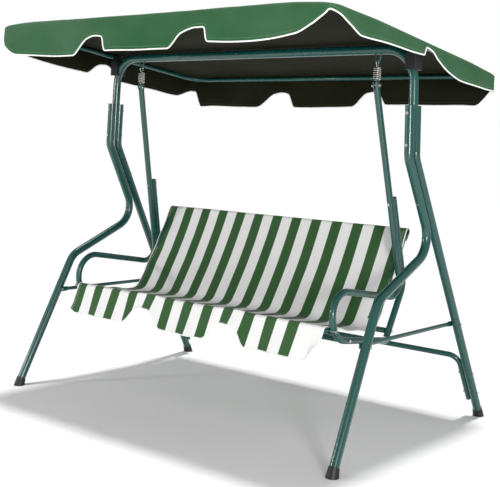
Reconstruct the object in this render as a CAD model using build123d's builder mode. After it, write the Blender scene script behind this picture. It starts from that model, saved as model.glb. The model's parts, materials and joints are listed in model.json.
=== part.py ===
from build123d import *
import math
import os

# Canopy swing bench. Millimetres, +Z up, +Y to the back, origin on the floor
# below the middle of the whole bench. "left" is -X and "right" is +X.

# ---- driving dimensions: stand ----
foot_half_span = 820.0      # leg centre line at floor level, from the middle
leg_lean = 0.0396           # inward lean of each side frame, per mm of height
leg_dia = 34.0
tube_wall = 1.2
head_y = -10.0              # middle of the leg heads, beam and spring eyes
leg_spacing = 48.0          # between the front and rear leg tubes at the head
leg_top = 1243.0
head_foot = 1056.0          # height where the legs leave the vertical
leg_rake = 0.558            # backward run per mm of drop, rear leg
front_foot_y = -493.0
front_rake = 0.485          # backward run per mm of rise, lower front leg
hip_y = -222.0              # corner of the front leg below the armrest
hip_slope = 0.447           # rise per mm of the front leg behind that corner
head_bend = 60.0
belly_bend = 95.0
hip_bend = 90.0
foot_clear = 9.0            # floor to the end of a leg tube
cap_dia = 46.0
cap_height = 34.0
cap_skirt = 26.0

# ---- driving dimensions: beam ----
beam_dia = 34.0
beam_z = 1445.0
beam_bend = 117.0
beam_end = 1078.0
beam_seam = -90.0
spigot = 80.0
nest_fit = 0.3

# ---- driving dimensions: springs and hanging gear ----
eye_rod = 6.0
eye_z = 1402.0
eye_half = 10.0
spring_wire = 4.0
spring_dia = 30.0
spring_turns = 5
spring_body = 30.0
ring_mean = 9.0
hook_play = 0.3
hanger_bolt_dia = 8.0
hanger_bolt_z = 1316.0
pin_fit = 0.07

# ---- driving dimensions: seat frame ----
seat_tube = 25.0
splay = 0.063               # outward run per mm of drop of the seat side
hang_x = 612.0              # half width at the hanger bolts
hanger_slope = 0.2337       # backward run per mm of drop
hanger_head = 14.0
arm_level = 541.0           # armrest height above the middle of the bench
arm_fall = 0.15
loop_front = -300.0
rail_level = 371.6
rail_fall = 0.125
rail_end_y = 62.0
arm_bend = 60.0
loop_bend = 84.0
upright_top = 905.0
upright_gap = 0.6
knee_rise = 52.0            # upright's knee above the armrest's rear corner
upright_foot_slope = 0.67
knee_bend = 90.0
cross_tube = 22.0
front_tube_z = 442.0
rest_tube_y = -211.0
rear_tube_z = 398.0
back_half = 626.0
back_top_y = 245.0
back_top_z = 768.0
back_slope = 0.545
back_leg = 178.0
back_bend = 30.0

# ---- driving dimensions: sling ----
sling = 3.0
sling_top_half = 636.0
sling_front_half = 640.0
sling_gap = 1.0
sling_tuck = 34.0
crease_z = 402.0
crease_bend = 45.0
hem_z = 332.0
hem_lean = 32.0
hem_arch_x = 222.0
hem_arch_top = 52.0
hem_arch_foot = 112.0
hem_arch_rise = 70.0

# ---- driving dimensions: braces ----
brace_dia = 16.0
brace_z = 410.0
brace_flat = 5.0
brace_tab = 40.0
bar_dia = 22.0
bar_z = 267.0
bar_drop = 96.0
bar_bend = 45.0
bar_seam = 420.0
side_gap = 0.4
seat_gap = 1.2
head_gap = 0.6

# ---- driving dimensions: canopy ----
pivot_z = 1454.0
canopy_tilt = 6.0
canopy_tube = 19.0
canopy_half = 795.0
canopy_front = 594.0
canopy_rear = 566.0
canopy_corner = 100.0
canopy_joint = 190.0
canopy_spigot = 45.0
cloth = 3.0
cloth_gap = 1.0
roof_rise = 10.5
skirt_front = 105.0
skirt_side = 95.0
skirt_rear = 135.0
arch_x = 250.0
arch_half = 86.0
arch_rise = 52.0
side_arch_rise = 60.0
corner_front = 90.0
corner_side = 180.0
corner_drop = 10.0
skirt_play = 8.0
bracket_half = 28.0
bracket_inner = 742.0
bracket_outer = 782.0
bracket_foot = 1370.0
bracket_shoulder = 1430.0
lug_radius = 9.3
washer_dia = 16.0

# ---- driving dimensions: fasteners ----
pair_bolt_z = (1215.0, 1101.0)
slope_bolt_z = 897.0
bar_bolt_z = (193.0, 106.0)
back_bolt_z = 625.0
join_bolt_z = 880.0
socket = 18.0
bar_spigot = 60.0
bolt_dia = 6.0
bolt_fit = 0.25
head_dia = 11.0
head_high = 4.0

SIDES = {"left": -1, "right": 1}
FOOT = (Align.CENTER, Align.CENTER, Align.MIN)


def leg_point(side, y, z):
    return Vector(side * (foot_half_span - leg_lean * z), y, z)


def seat_point(side, y, z):
    return Vector(side * (hang_x + splay * (hanger_bolt_z - z)), y, z)


def canopy_point(x, y, z):
    tilt = math.radians(canopy_tilt)
    return Vector(x, head_y + y * math.cos(tilt) + z * math.sin(tilt),
                  pivot_z - y * math.sin(tilt) + z * math.cos(tilt))


def round_tube(points, radii, outside, wall):
    """A bent tube along straight runs joined by tangent arcs."""
    with BuildPart() as tube:
        with BuildLine() as route:
            FilletPolyline(*points, radius=radii)
        start = route.wire()
        with BuildSketch(Plane(origin=start @ 0, z_dir=start % 0)):
            Circle(outside / 2)
            Circle(outside / 2 - wall, mode=Mode.SUBTRACT)
        sweep()
    return tube.part


def round_bar(points, radii, outside):
    """A bent solid bar along straight runs joined by tangent arcs."""
    with BuildPart() as bar:
        with BuildLine() as route:
            FilletPolyline(*points, radius=radii)
        start = route.wire()
        with BuildSketch(Plane(origin=start @ 0, z_dir=start % 0)):
            Circle(outside / 2)
        sweep()
    return bar.part


def rod(start, end, dia, mode=Mode.ADD):
    """A straight round bar between two points."""
    run = Vector(*end) - Vector(*start)
    with Locations(Plane(origin=start, z_dir=run)):
        Cylinder(dia / 2, run.length, align=FOOT, mode=mode)


def hex_nut(place, way, width, high):
    """A hexagon nut standing on place."""
    with BuildPart() as nut:
        with BuildSketch(Plane(origin=place, z_dir=way)):
            RegularPolygon(width / 2, 6)
        extrude(amount=high)
    return nut.part


def screw(start, end, dia=bolt_dia, head=head_dia, high=head_high):
    """A screw whose head seats at start."""
    way = (Vector(*end) - Vector(*start)).normalized()
    rod(Vector(*start) - way * (high / 2), end, dia)
    rod(Vector(*start) - way * high, start, head)


def bolt(start, end, dia=bolt_dia, head=head_dia, high=head_high):
    """A screw with a nut that seats at end."""
    way = (Vector(*end) - Vector(*start)).normalized()
    screw(start, Vector(*end) + way * (high / 2), dia, head, high)
    add(hex_nut(end, way, head, high))


def save(part, name):
    part.label = name
    export_step(part, "parts/" + name + ".step")


os.makedirs("parts", exist_ok=True)

# ---- routes of the stand ----
front_head_y = head_y - leg_spacing / 2
rear_head_y = head_y + leg_spacing / 2
hip_z = (hip_y - front_foot_y) / front_rake
rear_foot_y = rear_head_y + leg_rake * head_foot
belly_z = (head_foot * leg_rake + front_head_y - hip_y + hip_z / hip_slope) / (
    leg_rake + 1 / hip_slope)
belly_y = front_head_y + leg_rake * (head_foot - belly_z)


def front_leg_route(side):
    return [leg_point(side, front_head_y, leg_top), leg_point(side, front_head_y, head_foot),
            leg_point(side, belly_y, belly_z), leg_point(side, hip_y, hip_z),
            leg_point(side, front_foot_y + front_rake * foot_clear, foot_clear)]


def rear_leg_route(side):
    return [leg_point(side, rear_head_y, leg_top), leg_point(side, rear_head_y, head_foot),
            leg_point(side, rear_foot_y - leg_rake * foot_clear, foot_clear)]


def rear_leg_y(z):
    return rear_foot_y - leg_rake * z


def front_leg_y(z):
    return front_foot_y + front_rake * z


def beam_axis(side, z):
    return leg_point(side, head_y, z)


def beam_route(side, inner_x):
    return [Vector(inner_x, head_y, beam_z), beam_axis(side, beam_z), beam_axis(side, beam_end)]


# ---- bolt places of the stand: start, end ----
half_pair = leg_spacing / 2 + leg_dia / 2 + head_gap


def pair_bolt(side, z):
    return leg_point(side, head_y - half_pair, z), leg_point(side, head_y + half_pair, z)


def slope_bolt(side):
    front = leg_point(side, front_head_y + leg_rake * (head_foot - slope_bolt_z), slope_bolt_z)
    across = Vector(0, 1, leg_rake).normalized()
    reach = leg_spacing / math.hypot(1, leg_rake) + leg_dia / 2 + head_gap
    return front - across * (leg_dia / 2 + head_gap), front + across * reach


def brace_bolt(side, y, z):
    middle = leg_point(side, y, z)
    inner = Vector(-side * (leg_dia / 2 + seat_gap + brace_flat), 0, 0)
    return middle + Vector(side * (leg_dia / 2 + head_gap), 0, 0), middle + inner


def bar_bolt(side, z):
    middle = leg_point(side, rear_leg_y(z), z)
    inner = Vector(-side * (leg_dia / 2 + 2 * side_gap + bar_dia), 0, 0)
    return middle + Vector(side * (leg_dia / 2 + head_gap), 0, 0), middle + inner


def stand_bolts(side):
    rows = [pair_bolt(side, z) for z in pair_bolt_z]
    rows.append(slope_bolt(side))
    rows.append(brace_bolt(side, front_leg_y(brace_z), brace_z))
    rows.append(brace_bolt(side, rear_leg_y(brace_z), brace_z))
    rows.extend(bar_bolt(side, z) for z in bar_bolt_z)
    return rows


def straight_tube(start, end, outside, wall=tube_wall):
    """A straight tube between two points."""
    with BuildPart() as tube:
        rod(start, end, outside)
        rod(start, end, outside - 2 * wall, mode=Mode.SUBTRACT)
    return tube.part


def drill(start, end, dia=bolt_dia):
    """Cut a bolt's clearance hole, a little past both of its ends."""
    way = (Vector(*end) - Vector(*start)).normalized() * (head_high / 2 + bolt_fit)
    rod(Vector(*start) - way, Vector(*end) + way, dia + 2 * bolt_fit, mode=Mode.SUBTRACT)


# ---- legs ----
for word, side in SIDES.items():
    bolts = stand_bolts(side)
    nest = round_bar(beam_route(side, side * hang_x / 2), beam_bend, beam_dia + 2 * nest_fit)
    dent = round_bar(beam_route(side, side * hang_x / 2), beam_bend,
                     beam_dia + 2 * nest_fit + 2 * tube_wall)
    for name, route, radii in (
            ("front_leg_", front_leg_route(side), [head_bend, belly_bend, hip_bend]),
            ("rear_leg_", rear_leg_route(side), [head_bend])):
        with BuildPart() as bore:
            add(round_bar(route, radii, leg_dia - 2 * tube_wall))
            add(dent, mode=Mode.SUBTRACT)
        with BuildPart() as leg:
            add(round_bar(route, radii, leg_dia))
            add(nest, mode=Mode.SUBTRACT)
            add(bore.part, mode=Mode.SUBTRACT)
            for start, end in bolts:
                drill(start, end)
        save(leg.part, name + word)

# ---- foot caps ----
for word, side in SIDES.items():
    for name, route in (("front_foot_cap_", front_leg_route(side)),
                        ("rear_foot_cap_", rear_leg_route(side))):
        top = route[-2] - route[-1]
        middle = Vector(route[-1].X, route[-1].Y, 0)
        with BuildPart() as cap:
            with BuildSketch(Plane(origin=middle)):
                Circle(cap_dia / 2)
            with BuildSketch(Plane(origin=route[-1] + top.normalized() * cap_skirt,
                                   z_dir=top)):
                Circle(leg_dia / 2 + 2.4)
            loft(ruled=True)
            rod(route[-1], route[-1] + top.normalized() * cap_height, leg_dia,
                mode=Mode.SUBTRACT)
        save(cap.part, name + word)

# ---- top beam ----
spigot_dia = beam_dia - 2 * tube_wall - 2 * side_gap
seam = Vector(beam_seam, head_y, beam_z)
seam_bolt = (seam + Vector(spigot / 2, -beam_dia / 2, 0), seam + Vector(spigot / 2, beam_dia / 2, 0))


def spigot_on(start, way, length, outside, inside):
    """A reduced tube end, with the collar that carries it."""
    back = start - way * (outside - inside) * 2
    rod(back, start, outside)
    rod(back, start + way * length, inside)
    rod(back - way, start + way * (length + 1), inside - 2 * tube_wall, mode=Mode.SUBTRACT)


for word, side in SIDES.items():
    with BuildPart() as beam:
        add(round_tube(beam_route(side, beam_seam), beam_bend, beam_dia, tube_wall))
        if side < 0:
            spigot_on(seam, Vector(1, 0, 0), spigot, beam_dia, spigot_dia)
        drill(*seam_bolt)
        for z in pair_bolt_z:
            drill(*pair_bolt(side, z))
    save(beam.part, "top_beam_" + word)

# ---- spring eyes: bent rod welded under the beam ----
beam_body = Location((0, head_y, beam_z), (0, 90, 0))
for word, side in SIDES.items():
    legs = [Vector(side * hang_x + x, head_y, z) for x, z in (
        (-eye_half - eye_rod, beam_z), (-eye_half + eye_rod / 2, eye_z),
        (eye_half - eye_rod / 2, eye_z), (eye_half + eye_rod, beam_z))]
    with BuildPart() as eye:
        add(round_bar(legs, eye_rod * 0.75, eye_rod))
        with Locations(beam_body):
            Cylinder(beam_dia / 2, 2 * foot_half_span, mode=Mode.SUBTRACT)
    save(eye.part, "spring_eye_" + word)

# ---- springs: hook, coil and lower ring in one wire ----
hook_top = eye_z + (eye_rod + spring_wire) / 2 + hook_play
hook_mid = hook_top - ring_mean
ring_mid = hanger_bolt_z - (hanger_bolt_dia + spring_wire) / 2 - hook_play + ring_mean
coil_mean = (spring_dia - spring_wire) / 2
coil_low = (hook_mid + ring_mid - spring_body) / 2
coil_pitch = spring_body / spring_turns
with BuildPart() as spring_wire_part:
    with BuildLine() as wire:
        Helix(pitch=coil_pitch, height=spring_body, radius=coil_mean, center=(0, 0, coil_low))
    turn = wire.edge()
    with BuildSketch(Plane(origin=turn @ 0, z_dir=turn % 0)):
        Circle(spring_wire / 2)
    sweep(is_frenet=True)
    for middle, end in ((hook_mid, coil_low + spring_body), (ring_mid, coil_low)):
        with Locations(Plane(origin=(0, 0, middle), z_dir=(1, 0, 0))):
            Torus(ring_mean, spring_wire / 2)
        near = middle + math.copysign(ring_mean, end - middle)
        rod((0, 0, near), (0, 0, end), spring_wire)
        rod((0, 0, end), (coil_mean, 0, end), spring_wire)
        with Locations((coil_mean, 0, end)):
            Sphere(spring_wire * 0.56)
for word, side in SIDES.items():
    with BuildPart() as spring:
        with Locations((side * hang_x, head_y, 0)):
            add(spring_wire_part.part)
    save(spring.part, "spring_" + word)

# ---- seat side frames ----
arm_rear_z = (arm_level - arm_fall * (head_y + hanger_slope * hanger_bolt_z)) / (
    1 - arm_fall * hanger_slope)
upright_knee = arm_rear_z + knee_rise


def hanger_y(z):
    return head_y + hanger_slope * (hanger_bolt_z - z)


def rail_z(y):
    return rail_level - rail_fall * y


upright_y_gap = (seat_tube + upright_gap) * math.hypot(1, hanger_slope)
knee_y = hanger_y(upright_knee) + upright_y_gap
rail_top = (seat_tube / 2 + seat_gap) * math.hypot(1, rail_fall)
upright_foot_z = (rail_z(0) + rail_fall * (upright_foot_slope * upright_knee - knee_y)) / (
    1 + rail_fall * upright_foot_slope)
upright_foot_y = knee_y - upright_foot_slope * (upright_knee - upright_foot_z)


def arm_route(side):
    return [seat_point(side, hanger_y(hanger_bolt_z + hanger_head), hanger_bolt_z + hanger_head),
            seat_point(side, hanger_y(arm_rear_z), arm_rear_z),
            seat_point(side, loop_front, arm_level - arm_fall * loop_front),
            seat_point(side, loop_front, rail_z(loop_front)),
            seat_point(side, rail_end_y, rail_z(rail_end_y))]


def upright_route(side):
    return [seat_point(side, hanger_y(upright_top) + upright_y_gap, upright_top),
            seat_point(side, knee_y, upright_knee),
            seat_point(side, upright_foot_y, upright_foot_z)]


def upright_y(z):
    return knee_y - upright_foot_slope * (upright_knee - z)


def across(side, y, z, inset):
    """A sideways line through a seat side, from outboard to inboard."""
    middle = seat_point(side, y, z)
    return (middle + Vector(side * (seat_tube / 2 + head_gap), 0, 0),
            middle - Vector(side * (seat_tube / 2 + inset), 0, 0))


back_y = back_top_y - back_slope * (back_top_z - back_bolt_z)
join_run = Vector(0, 1, hanger_slope).normalized()
front_tube_y = loop_front
tube_rows = ((front_tube_y, front_tube_z), (rest_tube_y, rail_z(rest_tube_y)),
             (upright_y(rear_tube_z), rear_tube_z))


def hanger_pin(side):
    middle = seat_point(side, head_y, hanger_bolt_z)
    half = Vector(seat_tube / 2 + side_gap, 0, 0)
    return middle - half, middle + half


def seat_bolts(side):
    rows = [across(side, y, z, socket) for y, z in tube_rows]
    back_gap = seat_point(side, 0, back_bolt_z).X * side - back_half
    middle = seat_point(side, back_y, back_bolt_z)
    rows.append((middle + Vector(side * (seat_tube / 2 + head_gap), 0, 0),
                 middle - Vector(side * (back_gap + cross_tube / 2 + head_gap), 0, 0)))
    join = seat_point(side, hanger_y(join_bolt_z), join_bolt_z)
    rows.append((join - join_run * (seat_tube / 2 + head_gap),
                 join + join_run * (seat_tube * 1.5 + upright_gap + head_gap)))
    return rows


for word, side in SIDES.items():
    with BuildPart() as arm:
        add(round_tube(arm_route(side), [arm_bend, loop_bend, loop_bend], seat_tube, tube_wall))
        with Locations((side * hang_x, head_y, hanger_bolt_z + hanger_head)):
            Box(spring_wire + 2 * (hook_play + 0.7), 2 * seat_tube, 4 * hanger_head,
                mode=Mode.SUBTRACT)
        rod(*[p + Vector(k, 0, 0) for p, k in zip(hanger_pin(side), (-1, 1))],
            hanger_bolt_dia + 2 * pin_fit, mode=Mode.SUBTRACT)
        for start, end in seat_bolts(side):
            drill(start, end)
    save(arm.part, "armrest_tube_" + word)
    with BuildPart() as upright:
        add(round_tube(upright_route(side), knee_bend, seat_tube, tube_wall))
        with Locations(Plane(origin=seat_point(side, upright_foot_y, upright_foot_z + rail_top),
                             x_dir=(1, 0, 0), z_dir=(0, rail_fall, 1))):
            Box(4 * seat_tube, 8 * seat_tube, 2 * seat_tube,
                align=(Align.CENTER, Align.CENTER, Align.MAX), mode=Mode.SUBTRACT)
        for start, end in seat_bolts(side):
            drill(start, end)
    save(upright.part, "back_upright_" + word)
    with BuildPart() as pin:
        start, end = hanger_pin(side)
        bolt(start, end, hanger_bolt_dia, 13.0, 5.0)
    save(pin.part, "hanger_bolt_" + word)

# ---- cross tubes of the seat ----
for name, (y, z) in zip(("seat_front_tube", "seat_rest_tube", "seat_rear_tube"), tube_rows):
    left = across(-1, y, z, seat_gap)[1]
    right = across(1, y, z, seat_gap)[1]
    with BuildPart() as tube:
        add(straight_tube(left, right, cross_tube))
        for side in SIDES.values():
            inner = across(side, y, z, seat_gap)[1]
            rod(inner, inner - Vector(side * socket, 0, 0), cross_tube)
            drill(*across(side, y, z, socket))
    save(tube.part, name)

# ---- back top tube, bent down at both ends ----
back_end_y = back_top_y - back_slope * back_leg
with BuildPart() as back_tube:
    corners = [Vector(-back_half, back_end_y, back_top_z - back_leg),
               Vector(-back_half, back_top_y, back_top_z),
               Vector(back_half, back_top_y, back_top_z),
               Vector(back_half, back_end_y, back_top_z - back_leg)]
    add(round_tube(corners, back_bend, cross_tube, tube_wall))
    for side in SIDES.values():
        for start, end in seat_bolts(side):
            drill(start, end)
save(back_tube.part, "back_top_tube")

with BuildPart() as fastenings:
    for side in SIDES.values():
        for start, end in seat_bolts(side)[:len(tube_rows)]:
            screw(start, end)
        for start, end in seat_bolts(side)[len(tube_rows):]:
            bolt(start, end)
save(fastenings.part, "seat_bolts")

# ---- sling: one sheet from the back top tube to the front hem ----
wrap = cross_tube / 2 + sling_gap + sling / 2
back_run = Vector(0, -back_slope, -1).normalized()
back_out = Vector(0, -1, back_slope).normalized()
back_top = Vector(0, back_top_y, back_top_z)
front_tube = Vector(0, front_tube_y, front_tube_z)
face = back_top + back_out * wrap - back_run * wrap
crease = Vector(0, face.Y - back_slope * (face.Z - crease_z), crease_z)
pan_edge = front_tube + Vector(0, -wrap, wrap * 1.18)
hem = Vector(0, pan_edge.Y - hem_lean, hem_z)
with BuildPart() as sheet:
    with BuildSketch(Plane.YZ) as profile:
        with BuildLine() as fold:
            spots = [back_top - back_out * wrap + back_run * sling_tuck,
                     back_top - back_out * wrap - back_run * wrap, face, crease, pan_edge, hem]
            FilletPolyline(*[(spot.Y, spot.Z) for spot in spots],
                           radius=[wrap * 0.98, wrap * 0.98, crease_bend, wrap * 0.9])
        trace(line_width=sling)
    extrude(amount=sling_front_half, both=True)
    with BuildSketch(Plane.XZ) as taper:
        for side in SIDES.values():
            with BuildLine():
                Polyline((side * sling_top_half, back_top_z + 4 * wrap),
                         (side * sling_top_half, back_top_z + wrap),
                         (side * sling_front_half, crease_z),
                         (side * 2 * sling_front_half, crease_z),
                         (side * 2 * sling_front_half, back_top_z + 4 * wrap), close=True)
            make_face()
    extrude(amount=foot_half_span, both=True, mode=Mode.SUBTRACT)
    with BuildSketch(Plane.XZ.offset(-pan_edge.Y - hem_lean)) as arches:
        for side in SIDES.values():
            with BuildLine():
                FilletPolyline((side * hem_arch_x - hem_arch_foot, hem_z - sling),
                               (side * hem_arch_x - hem_arch_top, hem_z + hem_arch_rise),
                               (side * hem_arch_x + hem_arch_top, hem_z + hem_arch_rise),
                               (side * hem_arch_x + hem_arch_foot, hem_z - sling),
                               radius=[hem_arch_top * 0.6, hem_arch_top * 0.6])
                Line((side * hem_arch_x + hem_arch_foot, hem_z - sling),
                     (side * hem_arch_x - hem_arch_foot, hem_z - sling))
            make_face()
    extrude(amount=2 * hem_lean, both=True, mode=Mode.SUBTRACT)
save(sheet.part, "seat_sling")

# ---- side braces: round bar with flattened, drilled ends ----
for word, side in SIDES.items():
    ends = [brace_bolt(side, front_leg_y(brace_z), brace_z)[1],
            brace_bolt(side, rear_leg_y(brace_z), brace_z)[1]]
    run = (ends[1] - ends[0]).normalized()
    with BuildPart() as brace:
        tab = Vector(side * brace_flat / 2, 0, 0)
        rod(ends[0] + tab + run * brace_tab / 2, ends[1] + tab - run * brace_tab / 2, brace_dia)
        for end, way in ((ends[0], run), (ends[1], -run)):
            with Locations(Plane(origin=end + tab + way * (brace_tab / 4),
                                 x_dir=(1, 0, 0), z_dir=run)):
                Box(brace_flat, brace_dia * 1.25, brace_tab)
        for y in (front_leg_y(brace_z), rear_leg_y(brace_z)):
            middle = leg_point(side, y, brace_z)
            with Locations(Plane(origin=middle)):
                Box(leg_dia + 2 * seat_gap, 4 * brace_dia, 4 * brace_dia, mode=Mode.SUBTRACT)
            drill(*brace_bolt(side, y, brace_z))
    save(brace.part, "side_brace_" + word)

# ---- rear crossbar: middle tube and two bent ends bolted to the legs ----
bar_in = leg_dia / 2 + side_gap + bar_dia / 2
bar_y = rear_leg_y(bar_z)
inner_dia = bar_dia - 2 * tube_wall - 2 * side_gap


def bar_route(side):
    low = bar_z - bar_drop * 2
    return [Vector(side * bar_seam, bar_y, bar_z),
            leg_point(side, bar_y, bar_z) - Vector(side * bar_in, 0, 0),
            leg_point(side, rear_leg_y(low), low) - Vector(side * bar_in, 0, 0)]


def bar_joint(side):
    middle = Vector(side * (bar_seam - bar_spigot / 2), bar_y, bar_z)
    return middle - Vector(0, bar_dia / 2, 0), middle + Vector(0, bar_dia / 2, 0)


for word, side in SIDES.items():
    with BuildPart() as bar:
        add(round_tube(bar_route(side), bar_bend, bar_dia, tube_wall))
        spigot_on(bar_route(side)[0], Vector(-side, 0, 0), bar_spigot, bar_dia, inner_dia)
        for z in bar_bolt_z:
            drill(*bar_bolt(side, z))
        drill(*bar_joint(side))
    save(bar.part, "rear_crossbar_" + word)
with BuildPart() as middle_bar:
    add(straight_tube(Vector(-bar_seam, bar_y, bar_z), Vector(bar_seam, bar_y, bar_z), bar_dia))
    for side in SIDES.values():
        drill(*bar_joint(side))
save(middle_bar.part, "rear_crossbar_middle")

with BuildPart() as stand_fastenings:
    bolt(*seam_bolt)
    for side in SIDES.values():
        for start, end in stand_bolts(side):
            bolt(start, end)
        bolt(*bar_joint(side))
save(stand_fastenings.part, "stand_bolts")

# ---- canopy frame: four bent quarter tubes ----
canopy_spigot_dia = canopy_tube - 2 * tube_wall - 2 * side_gap


def quarter_joints(side):
    """Two bolts, one on each side of the joint in a canopy side tube."""
    half = Vector(side * (canopy_tube / 2 + head_gap), 0, 0)
    spots = [canopy_point(side * canopy_half, canopy_joint + run, 0)
             for run in (-canopy_spigot / 2, canopy_spigot / 2)]
    return [(spot + half, spot - half) for spot in spots]


def tilt_bolt(side):
    outer = canopy_point(side * (canopy_half + canopy_tube / 2), 0, 0)
    return (outer + Vector(side * head_gap, 0, 0),
            Vector(side * (bracket_inner - head_gap), outer.Y, outer.Z))


for word, side in SIDES.items():
    for end_name, end_y in (("canopy_front_tube_", -canopy_front), ("canopy_rear_tube_", canopy_rear)):
        route = [canopy_point(0, end_y, 0), canopy_point(side * canopy_half, end_y, 0),
                 canopy_point(side * canopy_half, canopy_joint, 0)]
        with BuildPart() as quarter:
            add(round_tube(route, canopy_corner, canopy_tube, tube_wall))
            if side < 0:
                spigot_on(route[0], Vector(1, 0, 0), canopy_spigot, canopy_tube,
                          canopy_spigot_dia)
            if end_y > 0:
                spigot_on(route[2], (route[2] - route[1]).normalized(), canopy_spigot,
                          canopy_tube, canopy_spigot_dia)
            else:
                start, end = tilt_bolt(side)
                rod(start + (start - end), end, bolt_dia + 2 * pin_fit, mode=Mode.SUBTRACT)
            for start, end in quarter_joints(side):
                drill(start, end)
        save(quarter.part, end_name + word)

with BuildPart() as canopy_fastenings:
    for side in SIDES.values():
        for start, end in quarter_joints(side):
            bolt(start, end, high=3.0)
save(canopy_fastenings.part, "canopy_bolts")

# ---- canopy brackets: a moulded block on the beam bend, with the tilt lug ----
pivot = Vector(0, head_y, pivot_z)
washer_gap = canopy_half - canopy_tube / 2 - bracket_outer
for word, side in SIDES.items():
    with BuildPart() as bracket:
        with BuildSketch(Plane.YZ.offset(side * bracket_inner)) as plate:
            with BuildLine():
                Polyline((head_y - bracket_half, bracket_foot), (head_y + bracket_half, bracket_foot),
                         (head_y + bracket_half, bracket_shoulder), (head_y, pivot_z + lug_radius),
                         (head_y - bracket_half, bracket_shoulder), close=True)
            make_face()
            with Locations((head_y, pivot_z + lug_radius)):
                Rectangle(4 * lug_radius, 2 * lug_radius, mode=Mode.SUBTRACT)
            with Locations((head_y, pivot_z)):
                Circle(lug_radius)
        extrude(amount=side * (bracket_outer - bracket_inner))
        add(round_bar(beam_route(side, side * hang_x), beam_bend, beam_dia + 2 * nest_fit),
            mode=Mode.SUBTRACT)
        start, end = tilt_bolt(side)
        rod(start, end, bolt_dia + 2 * pin_fit, mode=Mode.SUBTRACT)
    save(bracket.part, "canopy_bracket_" + word)
    with BuildPart() as washer:
        rod(Vector(side * (bracket_outer + side_gap), head_y, pivot_z),
            Vector(side * (bracket_outer + washer_gap - side_gap), head_y, pivot_z), washer_dia)
        rod(start, end, bolt_dia + 2 * pin_fit, mode=Mode.SUBTRACT)
    save(washer.part, "canopy_washer_" + word)
    with BuildPart() as tilt_pin:
        bolt(*tilt_bolt(side))
    save(tilt_pin.part, "canopy_tilt_bolt_" + word)

# ---- canopy cloth: a shallow tray turned over, with a scalloped skirt ----
reach_x = canopy_half + canopy_tube / 2 + cloth_gap + skirt_play
reach_front = canopy_front + canopy_tube / 2 + cloth_gap
reach_rear = canopy_rear + canopy_tube / 2 + cloth_gap
roof = Plane(origin=canopy_point(0, (reach_rear - reach_front) / 2, roof_rise + cloth),
             x_dir=(1, 0, 0), z_dir=canopy_point(0, 0, 1) - canopy_point(0, 0, 0))
roof_depth = reach_front + reach_rear
corner_out = canopy_corner + canopy_tube / 2 + cloth_gap
front_view = Plane(origin=roof.origin, x_dir=(1, 0, 0), z_dir=-roof.y_dir)
side_view = Plane(origin=roof.origin, x_dir=roof.y_dir, z_dir=(1, 0, 0))


def scallop(middle, half, rise, depth):
    """Outline of one arch, standing on the skirt's hem."""
    FilletPolyline((middle - half, -depth - cloth), (middle - half * 0.62, -depth + rise),
                   (middle + half * 0.62, -depth + rise), (middle + half, -depth - cloth),
                   radius=[half * 0.4, half * 0.4])
    Line((middle + half, -depth - cloth), (middle - half, -depth - cloth))


def half_arch(way, edge, span, depth):
    """Outline of a corner arch: up from the hem, then open past the corner."""
    over, low = way * (edge + 4 * cloth), -depth - 4 * cloth
    return [(way * (edge - span), low), (way * (edge - span), -depth),
            (way * (edge - span * 0.7), -depth * 0.6), (way * (edge - span * 0.2), -corner_drop),
            (over, -corner_drop), (over, low)]


def corner_arch(side, run_y, depth):
    """What one corner arch takes out of both skirts beside it."""
    with BuildPart() as arch:
        with BuildSketch(front_view):
            with BuildLine():
                Polyline(*half_arch(side, reach_x + cloth, corner_front, depth), close=True)
            make_face()
        extrude(amount=roof_depth, both=True)
        with BuildSketch(side_view):
            with BuildLine():
                Polyline(*half_arch(run_y, roof_depth / 2 + cloth, corner_side, depth), close=True)
            make_face()
        extrude(amount=2 * reach_x, both=True, mode=Mode.INTERSECT)
    return arch.part


with BuildPart() as cloth_part:
    with BuildSketch(roof):
        RectangleRounded(2 * (reach_x + cloth), roof_depth + 2 * cloth, corner_out)
    extrude(amount=-skirt_rear)
    with BuildSketch(roof.offset(-cloth)):
        RectangleRounded(2 * reach_x, roof_depth, corner_out - cloth)
    extrude(amount=-skirt_rear, mode=Mode.SUBTRACT)
    for middle_y, wide, deep, depth in (
            (-roof_depth / 2, 3 * reach_x, 2 * corner_out, skirt_front),
            (0, 3 * reach_x, roof_depth - 2 * corner_out + 1, skirt_side)):
        with Locations(roof):
            with Locations((0, middle_y, -depth)):
                Box(wide, deep, skirt_rear, align=(Align.CENTER, Align.CENTER, Align.MAX),
                    mode=Mode.SUBTRACT)
    for side in SIDES.values():
        for run_y, depth in ((-1, skirt_front), (1, skirt_rear)):
            add(corner_arch(side, run_y, depth), mode=Mode.SUBTRACT)
    with BuildSketch(side_view):
        with BuildLine():
            scallop(0, arch_half, side_arch_rise, skirt_side)
        make_face()
    extrude(amount=2 * reach_x, both=True, mode=Mode.SUBTRACT)
    for run_y, depth in ((-1, skirt_front), (1, skirt_rear)):
        with BuildSketch(front_view):
            for middle in (-arch_x, arch_x):
                with BuildLine():
                    scallop(middle, arch_half, arch_rise * depth / skirt_front, depth)
                make_face()
        extrude(amount=-run_y * roof_depth, mode=Mode.SUBTRACT)
save(cloth_part.part, "canopy_cloth")
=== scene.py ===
import json
import math

import bmesh
import bpy
from mathutils import Matrix, Vector, noise


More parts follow.
